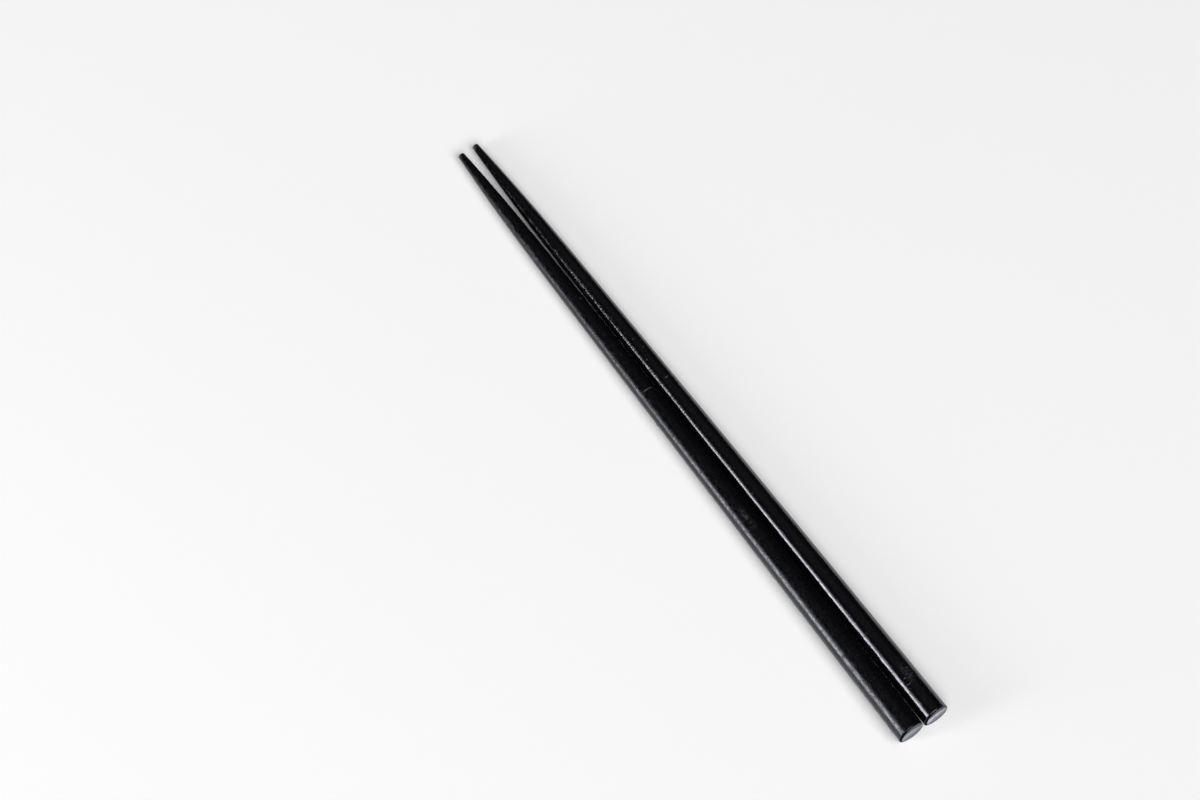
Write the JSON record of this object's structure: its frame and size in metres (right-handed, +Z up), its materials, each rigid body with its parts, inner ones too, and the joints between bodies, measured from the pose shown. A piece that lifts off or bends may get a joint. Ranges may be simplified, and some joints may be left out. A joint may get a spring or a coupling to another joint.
{
  "type": "pair of wooden chopsticks",
  "caption": "Pair of round tapered wooden chopsticks with a satin black finish, lying side by side with their tips apart.",
  "frame": {"origin": "centre of the pair's footprint, on the surface that it lies on", "axes": "+X along the pair from the tips to the butts, +Y from the left stick to the right one, +Z up"},
  "size_m": [0.225, 0.0174, 0.0087],
  "materials": {
    "black_lacquered_wood": "satin black lacquer over fine straight grain"
  },
  "bodies": {
    "root": {"left_chopstick": "black_lacquered_wood", "right_chopstick": "black_lacquered_wood"}
  },
  "joints": []
}
